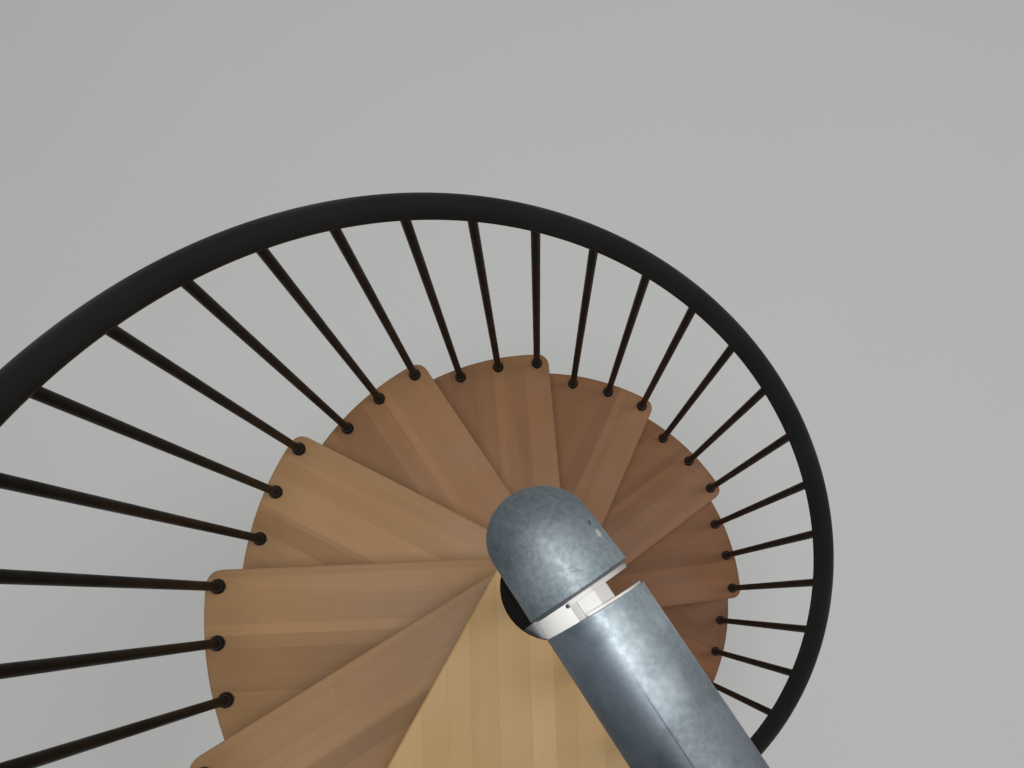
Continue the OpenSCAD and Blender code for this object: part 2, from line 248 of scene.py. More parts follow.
@dataclass(frozen=True)
class Fade:
    """A factor of a colour that runs smoothly from shade, at a reading of start, to gain, at stop."""

    turn: float
    start: float
    stop: float
    shade: float
    gain: float = 1.0

    def level(self, g: Graph, reading: Socket) -> Socket:
        """The factor for a distance along the turned axis, or for how far the surface faces that way."""
        return g.ramp(reading, self.start, self.stop, self.shade, self.gain)


@dataclass(frozen=True)
class StaveWood(Finish):
    """Satin varnished panel glued up from parallel staves that run along its front edge.

    front is the angle of that edge, pale_band the depth of the paler wood behind it, band_lift how much paler
    it is, edge_offset the distance from the pole's axis to the edge, and seam half the width of a glue line.
    """

    front: float
    light: Colour
    dark: Colour
    seed: float
    pale_band: float = 0.11
    band_lift: float = 0.35
    edge_offset: float = 0.071
    stave_width: float = 0.038
    stave_length: float = 0.46
    seam: float = 0.0006
    sheen: float = 0.52
    fleck_tint: Colour = (0.20, 0.11, 0.055)
    glue_tint: Colour = (0.10, 0.052, 0.024)
    worn_tint: Colour = (0.55, 0.38, 0.24)
    end_tint: Colour = (0.22, 0.13, 0.07)

    def surface(self, g: Graph) -> Socket:
        """Adds the nodes of the wood.

        Args:
            g: The material's graph.

        Returns:
            The shader's socket.
        """
        at = g.place(-self.front, (self.seed * 0.731, self.edge_offset, self.seed * 0.377))
        parts = g.add("SeparateXYZ", {0: at}).outputs
        run, depth = parts["X"], parts["Y"]
        wander = {"W": g.math("MULTIPLY_ADD", depth, 9.0, self.seed * 3.1), "Scale": 1.0, "Detail": 0.0}
        drift = g.add("TexNoise", wander, noise_dimensions="1D").outputs["Fac"]
        across = g.math("ADD", g.math("DIVIDE", depth, self.stave_width), g.math("MULTIPLY", drift, 0.9))
        stave = g.math("FLOOR", across)
        start, whole = (
            g.add("TexWhiteNoise", {"W": g.math("ADD", stave, seed)}, noise_dimensions="1D").outputs["Value"]
            for seed in (self.seed * 17.0, self.seed * 29.0)
        )
        run = g.math("MULTIPLY_ADD", start, 5.0, g.math("DIVIDE", run, self.stave_length))
        pair = g.add("CombineXYZ", {0: stave, 1: g.math("FLOOR", run), 2: self.seed * 11.0}).outputs[0]
        pick = g.add("TexWhiteNoise", {"Vector": pair}, noise_dimensions="3D").outputs
        tone = g.math("MULTIPLY_ADD", pick["Value"], 0.08, g.math("MULTIPLY", whole, 0.92))
        band = g.ramp(depth, self.pale_band + 0.001, self.pale_band - 0.001)
        lifted = g.math("MULTIPLY", band, self.band_lift)
        tone = g.math("ADD", g.math("MULTIPLY", tone, 1.0 - self.band_lift), lifted)
        at_board = g.add("VectorMath", {0: at, 1: pick["Color"]}, operation="ADD").outputs[0]
        figure = g.noise(g.stretch(at_board, 1.6, 26.0, 26.0), 1.0, 3.0, 0.55, Distortion=0.6)
        grain = g.noise(g.stretch(at_board, 9.0, 520.0, 520.0), 1.0, 3.0, 0.6)
        fleck = g.ramp(g.noise(g.stretch(at_board, 110.0, 900.0, 900.0), 1.0, 1.0), 0.62, 0.72)
        stain = g.noise(at, 5.0, 2.0)
        for part, share in ((figure, 0.75), (stain, 0.45), (grain, 0.35)):
            tone = g.math("MULTIPLY_ADD", g.math("SUBTRACT", part, 0.5), share, tone)
        narrow = g.math("MULTIPLY", band, g.ramp(depth, self.pale_band - 0.020, self.pale_band - 0.018))
        tone = g.math("MULTIPLY_ADD", narrow, self.band_lift * 0.6, tone)
        colour = g.blend(tone, self.dark, self.light)
        hue = g.blend(pick["Value"], (1.012, 0.995, 0.975), (0.99, 1.0, 1.02))
        colour = g.blend(1.0, colour, hue, "MULTIPLY")
        gap = g.math("MULTIPLY", g.math("PINGPONG", across, 0.5), self.stave_width)
        butt = g.math("MULTIPLY", g.math("PINGPONG", run, 0.5), self.stave_length)
        line = g.math("MAXIMUM", g.ramp(gap, self.seam, 0.0), g.ramp(butt, self.seam, 0.0))
        wear_and_highlight = g.ramp(depth, 0.005, 0.001)
        for mask, share, tint in (
            (fleck, 0.16, self.fleck_tint), (line, 0.12, self.glue_tint), (wear_and_highlight, 0.10, self.worn_tint)
        ):
            colour = g.blend(g.math("MULTIPLY", mask, share), colour, tint)
        end = g.ramp(g.math("ABSOLUTE", g.facing(self.front)), 0.55, 0.8)
        rings = g.noise(g.stretch(at_board, 30.0, 330.0, 700.0), 1.0, 2.0, 0.6, Distortion=1.2)
        colour = g.blend(g.math("MULTIPLY", end, g.ramp(rings, 0.3, 0.75, 0.25, 0.6)), colour, self.end_tint)
        rough = g.ramp(stain, 0.3, 0.7, self.sheen - 0.05, self.sheen + 0.07)
        height = g.math("SUBTRACT", g.math("MULTIPLY", grain, 0.35), line)
        normal = g.relief(height, 0.00012, 0.6)
        return g.shader(colour, g.math("MULTIPLY_ADD", wear_and_highlight, 0.1, rough), normal, Specular_IOR_Level=0.3)


@dataclass(frozen=True)
class BlackPaint(Finish):
    """Black powder coat with a fine orange peel, faint dust and thin wear."""

    base: Colour = (0.0027, 0.0020, 0.0015)
    dust: Colour = (0.0095, 0.0068, 0.0048)
    roughness: float = 0.44
    peel: float = 0.00006
    gloss: float = 0.13

    def surface(self, g: Graph) -> Socket:
        """Adds the nodes of the paint.

        Args:
            g: The material's graph.

        Returns:
            The shader's socket.
        """
        at = g.place()
        cloud = g.noise(at, 14.0, 4.0, 0.6)
        specks = g.ramp(g.noise(at, 420.0, 2.0), 0.60, 0.74)
        lying = g.add("SeparateXYZ", {0: g.add("TexCoord").outputs["Normal"]}).outputs["Z"]
        settled = g.math("MULTIPLY", g.ramp(lying, 0.35, 0.95), g.ramp(cloud, 0.35, 0.7, 0.15, 0.6))
        dusty = g.math("ADD", g.math("MULTIPLY", settled, 0.55), g.math("MULTIPLY", specks, 0.16))
        rough = g.ramp(cloud, 0.3, 0.7, self.roughness - 0.05, self.roughness + 0.07)
        rough = g.math("MULTIPLY_ADD", settled, 0.12, rough)
        normal = g.relief(g.noise(at, 700.0, 1.0), self.peel, 0.5)
        return g.shader(g.blend(dusty, self.base, self.dust), rough, normal, Specular_IOR_Level=self.gloss)


@dataclass(frozen=True)
class RailSkin(Finish):
    """Dark satin plastic of the handrail, with a fine leathery grain and rubbed patches."""

    base: Colour = (0.0036, 0.0038, 0.0040)
    rubbed_and_highlit: Colour = (0.0080, 0.0083, 0.0084)
    roughness: float = 0.50
    grain: float = 0.00005

    def surface(self, g: Graph) -> Socket:
        """Adds the nodes of the plastic.

        Args:
            g: The material's graph.

        Returns:
            The shader's socket.
        """
        at = g.place()
        patch = g.noise(at, 7.0, 3.0, 0.55)
        cells = g.add("TexVoronoi", {"Vector": at, "Scale": 620.0, "Randomness": 1.0}, feature="SMOOTH_F1")
        fine = g.noise(at, 260.0, 3.0, 0.6)
        wear = g.math("ADD", g.ramp(patch, 0.35, 0.75, 0.0, 0.55), g.ramp(fine, 0.45, 0.8, 0.0, 0.25))
        rough = g.ramp(patch, 0.3, 0.7, self.roughness + 0.06, self.roughness - 0.07)
        normal = g.relief(fine, self.grain, 0.4, g.relief(cells.outputs["Distance"], self.grain, 0.5))
        return g.shader(g.blend(wear, self.base, self.rubbed_and_highlit), rough, normal, Specular_IOR_Level=0.17)


@dataclass(frozen=True)
class MottledGrey(Finish):
    """Blue-grey satin coat of the landing rail, softly clouded, with crazing and a chip where asked for.

    patch is the share of slow clouds and crazing the strength of the cracks. chip and pit are the middles of
    two spots. seam holds the rail's turn, the seam's distance aside, half its width and its start. edge holds
    the rail's turn and the cut at which a painted shadow line along the cut ends. The fade along the rail is
    a painted highlight that makes the coat lighter towards the cut, the fade round it is painted light and
    shade that makes the side facing its turn lighter and the side away darker, and worn_gloss is the
    roughness that the highlit end loses.
    """

    light: Colour = (0.128, 0.154, 0.182)
    dark: Colour = (0.068, 0.087, 0.106)
    bright: Colour = (0.18, 0.21, 0.24)
    roughness: float = 0.42
    patch: float = 0.66
    crazing: float = 0.0
    chip: Triple | None = None
    pit: Triple | None = None
    seam: tuple[float, float, float, float] | None = None
    # The edge line and the two fades are painted: a shadow line along the cut, a highlight towards the cut,
    # and a lighter side facing the turn with a darker side away.
    edge: Pair | None = None
    rubbed_and_highlit: Fade | None = None
    fade_and_side_shade: Fade | None = None
    worn_gloss: float = 0.10
    chip_tint: Colour = (0.30, 0.32, 0.32)
    pit_tint: Colour = (0.028, 0.036, 0.042)
    dirt: Colour = (0.018, 0.024, 0.030)
    # Colour of the painted shadow line along the cap's cut.
    cut_shadow_tint: Colour = (0.020, 0.025, 0.030)

    def surface(self, g: Graph) -> Socket:
        """Adds the nodes of the grey coat.

        Args:
            g: The material's graph.

        Returns:
            The shader's socket.
        """
        at = g.place()
        cloud = g.noise(at, 420.0, 3.0, 0.6)
        slow = g.ramp(g.noise(at, 58.0, 2.0), 0.34, 0.62, 0.0, self.patch)
        spots = g.ramp(g.noise(at, 1100.0, 2.0, 0.6), 0.58, 0.8)
        tone = g.math("ADD", g.ramp(cloud, 0.3, 0.7, 0.0, 1.0 - self.patch), slow)
        colour = g.blend(g.math("MULTIPLY", spots, 0.25), g.blend(tone, self.dark, self.light), self.bright)
        height = g.math("ADD", g.math("MULTIPLY", cloud, 0.5), g.math("MULTIPLY", spots, 0.1))
        rough = g.ramp(cloud, 0.3, 0.7, self.roughness + 0.03, self.roughness - 0.02)
        if self.crazing:
            cracks = self._cracks(g, at)
            cracked = tuple(c * 0.45 for c in self.dark)
            colour = g.blend(g.math("MULTIPLY", cracks, self.crazing), colour, cracked)
            height = g.math("SUBTRACT", height, g.math("MULTIPLY", cracks, 0.8))
        if self.chip:
            colour = g.blend(self._spot(g, at, self.chip, 0.0024), colour, self.chip_tint)
        if self.pit:
            colour = g.blend(self._spot(g, at, self.pit, 0.0017), colour, self.pit_tint)
        if self.seam:
            turn, side, half, start = self.seam
            off = g.math("ABSOLUTE", g.math("SUBTRACT", g.along(turn, "Y"), side))
            far = g.ramp(g.along(turn), start, start + 0.03)
            line = g.math("MULTIPLY", g.ramp(off, half, half * 0.3), far)
            colour = g.blend(g.math("MULTIPLY", line, 0.8), colour, self.dirt)
        # Painted highlight: the coat gets lighter and glossier towards the rail's cut end.
        if self.rubbed_and_highlit:
            wear_and_highlight = self.rubbed_and_highlit.level(g, g.along(self.rubbed_and_highlit.turn))
            colour = g.dim(colour, wear_and_highlight, wear_and_highlight, g.math("POWER", wear_and_highlight, 0.92))
            gloss = g.ramp(wear_and_highlight, self.rubbed_and_highlit.shade, self.rubbed_and_highlit.gain, self.worn_gloss, 0.0)
            rough = g.math("ADD", rough, gloss)
        # Painted light and shade: lighter, with less blue, where the surface faces the turn, and darker where
        # it faces away.
        if self.fade_and_side_shade:
            level = self.fade_and_side_shade.level(g, g.facing(self.fade_and_side_shade.turn))
            colour = g.dim(colour, level, g.math("POWER", level, 0.94), g.math("POWER", level, 0.82))
        # Painted shadow: a dark line along the cap's cut, where its edge overhangs the core.
        if self.edge:
            turn, stop = self.edge
            rim = g.ramp(g.along(turn), stop - 0.0009, stop - 0.0002, 0.0, 0.8)
            colour = g.blend(rim, colour, self.cut_shadow_tint)
        normal = g.relief(height, 0.00012, 0.2)
        return g.shader(colour, rough, normal, Specular_IOR_Level=0.6, Metallic=0.3)

    def _cracks(self, g: Graph, at: Socket) -> Socket:
        """Short fine cracks that show in patches.

        Args:
            g: The material's graph.
            at: Coordinates.

        Returns:
            Socket that is 1 on a crack.
        """
        warp = g.add("TexNoise", {"Vector": at, "Scale": 210.0, "Detail": 3.0}).outputs["Color"]
        shift = g.stretch(warp, 0.006, 0.006, 0.006)
        bent = g.add("VectorMath", {0: at, 1: shift}, operation="ADD").outputs[0]
        cells = g.add("TexVoronoi", {"Vector": bent, "Scale": 250.0}, feature="DISTANCE_TO_EDGE")
        where = g.ramp(g.noise(at, 160.0, 3.0, 0.6), 0.50, 0.60)
        return g.math("MULTIPLY", g.ramp(cells.outputs["Distance"], 0.075, 0.0), where)

    def _spot(self, g: Graph, at: Socket, centre: Triple, radius: float) -> Socket:
        """A small ragged spot.

        Args:
            g: The material's graph.
            at: Coordinates.
            centre: Middle of the spot.
            radius: Radius at which it has faded out.

        Returns:
            Socket of the spot's strength.
        """
        away = g.add("VectorMath", {0: at, 1: centre}, operation="DISTANCE").outputs["Value"]
        ragged = g.math("MULTIPLY_ADD", g.noise(at, 900.0, 2.0, 0.6), radius * 0.9, away)
        return g.ramp(ragged, radius * 1.35, radius * 0.75, 0.0, 0.85)


@dataclass(frozen=True)
class CreamCore(Finish):
    """Cream plastic of the rail's core and connector, a little yellowed and scuffed.

    side is painted shade, the darker colour where the surface faces side_angle, and outermost a darker
    painted shade where it faces that way squarely. shaded is a painted shadow that darkens the surface
    towards one side of the rail.
    """

    fresh: Colour = (0.66, 0.66, 0.65)
    aged: Colour = (0.57, 0.54, 0.48)
    side: Colour = (0.49, 0.47, 0.45)
    side_angle: float = 25.5
    shaded: Fade | None = None
    shade_power: float = 3.0
    scuffed: Colour = (0.30, 0.28, 0.24)
    outermost: Colour = (0.20, 0.19, 0.18)

    def surface(self, g: Graph) -> Socket:
        """Adds the nodes of the plastic.

        Args:
            g: The material's graph.

        Returns:
            The shader's socket.
        """
        at = g.place()
        age = g.noise(at, 45.0, 3.0, 0.6)
        scuff = g.ramp(g.noise(g.stretch(at, 60.0, 60.0, 900.0), 1.0, 2.0, 0.6), 0.6, 0.75)
        colour = g.blend(g.ramp(age, 0.45, 0.8, 0.0, 0.5), self.fresh, self.aged)
        colour = g.blend(g.math("MULTIPLY", scuff, 0.10), colour, self.scuffed)
        # Painted shade: darker where the surface faces side_angle, darker still where it faces it squarely.
        outer = g.facing(self.side_angle)
        colour = g.blend(g.ramp(outer, 0.10, 0.20), colour, self.side)
        colour = g.blend(g.ramp(outer, 0.45, 0.95, 0.0, 0.45), colour, self.outermost)
        # Painted shadow: darker towards one side of the rail.
        if self.shaded:
            level = self.shaded.level(g, g.along(self.shaded.turn, "Y"))
            colour = g.dim(colour, *[g.math("POWER", level, self.shade_power)] * 3)
        rough, normal = g.ramp(age, 0.3, 0.7, 0.42, 0.52), g.relief(scuff, 0.0001, 0.4)
        return g.shader(colour, rough, normal, Specular_IOR_Level=0.3)


@dataclass(frozen=True)
class ZincSteel(Finish):
    """Bright zinc plate on brackets and bolts, with faint spangle and brushing."""

    base: Colour = (0.56, 0.57, 0.58)
    dull: Colour = (0.36, 0.37, 0.38)
    roughness: float = 0.34

    def surface(self, g: Graph) -> Socket:
        """Adds the nodes of the zinc plate.

        Args:
            g: The material's graph.

        Returns:
            The shader's socket.
        """
        at = g.place()
        spangle = g.add("TexVoronoi", {"Vector": at, "Scale": 130.0}, feature="F1").outputs["Color"]
        facet = g.add("SeparateXYZ", {0: spangle}).outputs["X"]
        brushed = g.noise(g.stretch(at, 40.0, 40.0, 1500.0), 1.0, 2.0, 0.6)
        tarnish = g.ramp(g.noise(at, 22.0, 4.0, 0.6), 0.35, 0.7, 0.1, 0.7)
        colour = g.blend(g.math("MULTIPLY_ADD", facet, 0.3, tarnish), self.base, self.dull)
        sheen = g.math("MULTIPLY_ADD", facet, 0.5, brushed)
        rough = g.ramp(sheen, 0.3, 1.1, self.roughness - 0.08, self.roughness + 0.14)
        return g.shader(colour, rough, g.relief(brushed, 0.00003, 0.4), Metallic=1.0)


ZINC = ZincSteel("steel")
DARK_STEEL = ZincSteel("dark_steel", (0.16, 0.16, 0.17), (0.08, 0.08, 0.085))


@dataclass(frozen=True)
class FloorPaint(Finish):
    """Plain pale floor with the faintest unevenness, that fades into the backdrop far from the stair."""

    shade: Colour = (0.66, 0.68, 0.68)
    fade_from: float = 3.2
    fade_to: float = 8.0

    def surface(self, g: Graph) -> Socket:
        """Adds the nodes of the floor's paint.

        Args:
            g: The material's graph.

        Returns:
            The shader's socket.
        """
        at = g.place()
        lighter = tuple(min(1.0, c * 1.03) for c in self.shade)
        floor = g.shader(g.blend(g.noise(at, 0.9, 3.0), self.shade, lighter), 0.75, Specular_IOR_Level=0.2)
        distance = g.add("VectorMath", {0: at}, operation="LENGTH").outputs["Value"]
        fade_and_side_shade = g.math("MULTIPLY", g.seen(), g.ramp(distance, self.fade_from, self.fade_to))
        pale = g.add("Emission", {"Color": BACKDROP, "Strength": 1.0}).outputs["Emission"]
        return g.add("MixShader", {0: fade_and_side_shade, 1: floor, 2: pale}).outputs["Shader"]


def shown(name: str, data: bpy.types.ID) -> bpy.types.Object:
    """Makes an object and links it to the scene.

    Args:
        name: Name of the object.
        data: Its mesh, light or camera.

    Returns:
        The object.
    """
    thing = bpy.data.objects.new(name, data)
    bpy.context.scene.collection.objects.link(thing)
    return thing


def mesh_of(bm: BMesh, name: str) -> bpy.types.Mesh:
    """Turns a bmesh into a mesh and frees it.

    Args:
        bm: The bmesh.
        name: Name of the mesh.

    Returns:
        The mesh.
    """
    mesh = bpy.data.meshes.new(name)
    bm.to_mesh(mesh)
    bm.free()
    return mesh


def only(geometry: list, kind: type) -> list:
    """Picks the vertices, edges or faces from what a bmesh operator returns."""
    return [item for item in geometry if isinstance(item, kind)]


def placed(angle: float, x: float = 0.0, y: float = 0.0, z: float = 0.0, tip: float = 0.0) -> Matrix:
    """Matrix of a place in a frame turned about the stair's axis, tipped about its own Y."""
    level = Matrix.Rotation(math.radians(angle), 4, "Z") @ Matrix.Translation((x, y, z))
    return level @ Matrix.Rotation(math.radians(tip), 4, "Y")


def quarter(steps: int) -> list[float]:
    """Evenly spaced angles of a quarter turn, in radians from 0 on."""
    return [math.pi / 2 * k / steps for k in range(steps + 1)]


def turned(bm: BMesh, profile: Profile, place: Matrix, steps: int) -> None:
    """Turns a profile about its own Z axis into a shell, adds it to a bmesh and tags its vertices as done.

    Args:
        bm: The bmesh.
        profile: Radius and height pairs. A radius of 0 closes an end.
        place: Where the turned shape goes.
        steps: Facets round the axis.
    """
    verts = [bm.verts.new(Vector((r, 0.0, z))) for r, z in profile]
    line = verts + [bm.edges.new(pair) for pair in zip(verts, verts[1:])]
    bmesh.ops.spin(bm, geom=line, cent=(0, 0, 0), axis=(0, 0, 1), angle=math.tau, steps=steps, use_merge=True)
    bmesh.ops.remove_doubles(bm, verts=[v for v in bm.verts if not v.tag], dist=1e-7)
    bmesh.ops.transform(bm, matrix=place, verts=[v for v in bm.verts if not v.tag])
    for v in bm.verts:
        v.tag = True


def rounded(profile: Profile, corner: int, radius: float, steps: int = 4) -> Profile:
    """Rounds one corner of a profile.

    Args:
        profile: Radius and height pairs.
        corner: Index of the corner.
        radius: Distance from the corner at which the rounding starts.
        steps: Segments in the rounding.

    Returns:
        The new profile, longer by as many points.
    """
    before, at, after = (Vector(profile[corner + k]) for k in (-1, 0, 1))
    start = at + (before - at).normalized() * radius
    stop = at + (after - at).normalized() * radius
    shares = [k / steps for k in range(steps + 1)]
    curve = [start * (1 - t) ** 2 + at * 2 * t * (1 - t) + stop * t ** 2 for t in shares]
    return profile[:corner] + [tuple(point) for point in curve] + profile[corner + 1:]


def bevelled(bm: BMesh, edges: list[BMEdge], width: float, segments: int) -> None:
    """Rounds edges by a width on each side."""
    shape = {"offset_type": "OFFSET", "segments": segments, "profile": 0.5, "material": -1}
    bmesh.ops.bevel(bm, geom=edges, offset=width, affect="EDGES", **shape)


def prism(outline: list[Vector], reach: Triple) -> BMesh:
    """Makes a closed prism.

    Args:
        outline: Corners of its first face.
        reach: From the first face to the last.

    Returns:
        The prism's bmesh.
    """
    bm = bmesh.new()
    face = bm.faces.new([bm.verts.new(corner) for corner in outline])
    far = bmesh.ops.extrude_face_region(bm, geom=[face], use_keep_orig=True)["geom"]
    bmesh.ops.translate(bm, verts=only(far, BMVert), vec=reach)
    bmesh.ops.recalc_face_normals(bm, faces=bm.faces)
    return bm


@dataclass
class Workshop:
    """Makes each finish once, dresses CAD nodes, and turns bmeshes into pieces."""

    finishes: dict[str, Material] = field(default_factory=dict)

    def coat(self, finish: Finish) -> Material:
        """The material of a finish, built the first time it is asked for.

        Args:
            finish: The finish.

        Returns:
            The material.
        """
        if finish.name not in self.finishes:
            self.finishes[finish.name] = finish.material()
        return self.finishes[finish.name]

    def dress(self, finish: Finish, *nodes: str) -> None:
        """Puts a finish on CAD nodes.

        Args:
            finish: The finish.
            nodes: Names of the nodes.
        """
        material = self.coat(finish)
        for name in nodes:
            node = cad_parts[name]
            if not node.material_slots:
                node.data.materials.append(material)
            for slot in node.material_slots:
                slot.material = material

    def piece(
        self, name: str, bm: BMesh, finish: Finish, slot: str, replaces: tuple[str, ...] = (),
        smooth: float = 35.0
    ) -> bpy.types.Object:
        """Makes a piece of the stair from a bmesh, and frees the bmesh.

        Args:
            name: Name of the piece.
            bm: The finished bmesh, in its place.
            finish: The finish.
            slot: Name of a material slot; not used.
            replaces: CAD nodes that the piece stands for.
            smooth: Faces that meet at less than this angle are shaded smooth.

        Returns:
            The object.
        """
        bmesh.ops.remove_doubles(bm, verts=bm.verts, dist=1e-6)
        bmesh.ops.recalc_face_normals(bm, faces=bm.faces)
        mesh = mesh_of(bm, name)
        mesh.shade_smooth()
        mesh.set_sharp_from_angle(angle=math.radians(smooth))
        mesh.materials.append(self.coat(finish))
        piece = shown(name, mesh)
        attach(piece, "root")
        if replaces:
            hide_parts(*replaces)
        LOG.info("%s: %d faces", name, len(mesh.polygons))
        return piece


@dataclass
class Fastener:
    """A bolt or screw head, on its washer if it has one, standing on the plane Z = 0 of its place."""

    drive: Drive
    width: float
    height: float
    washer: float = 0.0
    washer_thickness: float = 0.0

    def add_to(self, bm: BMesh, place: Matrix) -> None:
        """Adds the head and washer to a bmesh.

        Args:
            bm: The bmesh.
            place: Where the head sits, with its Z out of the surface.
        """
        r, t = self.washer / 2, self.washer_thickness
        if self.washer:
            turned(bm, [(0, 0), (r, 0), (r, t * 0.75), (r - t * 0.25, t), (0, t)], place, 32)
        place = place @ Matrix.Translation((0, 0, t))
        r, h = self.width / 2, self.height
        if self.drive is Drive.HEXAGON:
            corner = self.width / math.sqrt(3)
            top = bmesh.ops.create_cone(
                bm, cap_ends=True, segments=6, radius1=corner, radius2=corner, depth=h,
                matrix=place @ Matrix.Translation((0, 0, h / 2))
            )["verts"]
            top = [v for v in top if (place.inverted() @ v.co).z > h / 2]
            rim = [e for e in {e for v in top for e in v.link_edges} if all(v in top for v in e.verts)]
            bevelled(bm, rim, h * 0.16, 2)
            for v in bm.verts:
                v.tag = True
            return
        hole, steps = (r * 0.42, 6) if self.drive is Drive.SOCKET else (r * 0.30, 18)
        crown = [(0, 0), (r, 0), (r, h * 0.35), (r * 0.86, h * 0.8), (r * 0.6, h)]
        turned(bm, crown + [(hole, h), (hole * 0.9, h * 0.35), (0, h * 0.3)], place, steps)


@dataclass
class Assembly:
    """A part of the stair that is dressed and completed in a workshop."""

    shop: Workshop


@dataclass
class Handrail(Assembly):
    """Round handrail that climbs with the treads, as one smooth sweep with half-ball ends."""

    diameter: float = 0.040
    centre_radius: float = 0.5837
    first_angle: float = -112.0
    height_at_first: float = 1.208
    overrun: float = 0.044
    sides: int = 40
    steps: int = 288
    ball_rings: int = 8

    def height(self, angle: float) -> float:
        """Height of the centre line at an angle about the stair's axis."""
        return self.height_at_first + (angle - self.first_angle) * RISE / PITCH

    def build(self) -> None:
        """Sweeps the rail and closes its ends."""
        extra = math.degrees(self.overrun / self.centre_radius)
        start, stop = self.first_angle - PITCH / 3 - extra, EXIT_ANGLE - PITCH / 3 + extra
        slope = math.atan(RISE / (math.radians(PITCH) * self.centre_radius))
        tilt = Matrix.Rotation(slope - math.pi / 2, 4, "X")
        place = placed(start, self.centre_radius, 0.0, self.height(start)) @ tilt
        bm = bmesh.new()
        radius = self.diameter / 2
        ring = bmesh.ops.create_circle(bm, segments=self.sides, radius=radius, matrix=place)["verts"]
        rim = bm.edges[:]
        turn, climb = math.radians(stop - start), self.height(stop) - self.height(start)
        last = bmesh.ops.spin(
            bm, geom=ring + rim, cent=(0, 0, 0), axis=(0, 0, 1), dvec=(0, 0, climb / self.steps), angle=turn,
            steps=self.steps
        )["geom_last"]
        top = Matrix.Translation((0, 0, climb)) @ Matrix.Rotation(turn, 4, "Z") @ place
        self._half_ball(bm, rim, place, -1.0)
        self._half_ball(bm, only(last, BMEdge), top, 1.0)
        nodes = ("handrail_1", "handrail_2", "handrail_3", "handrail_4", "handrail_ends")
        self.shop.piece("handrail_sweep", bm, RailSkin("handrail_black"), "handrail_black", nodes, 60.0)

    def _half_ball(self, bm: BMesh, rim: list[BMEdge], place: Matrix, way: float) -> None:
        """Closes an open end with a half ball.

        Args:
            bm: The bmesh.
            rim: Edges of the open end.
            place: Matrix of the end's ring, whose Z points along the rail.
            way: 1 along the rail or -1 back along it.
        """
        reach = way * self.diameter / 2
        for a, b in zip(quarter(self.ball_rings), quarter(self.ball_rings)[1:]):
            made = bmesh.ops.extrude_edge_only(bm, edges=rim)["geom"]
            verts = only(made, BMVert)
            rim = [e for e in only(made, BMEdge) if all(v in verts for v in e.verts)]
            scale = max(math.cos(b), 1e-4) / math.cos(a)
            step = Matrix.Translation((0, 0, reach * math.sin(b))) @ Matrix.Diagonal((scale, scale, 1, 1))
            step = step @ Matrix.Translation((0, 0, -reach * math.sin(a)))
            bmesh.ops.transform(bm, matrix=place @ step @ place.inverted(), verts=verts)
        bmesh.ops.pointmerge(bm, verts=verts, merge_co=place @ Vector((0, 0, reach)))


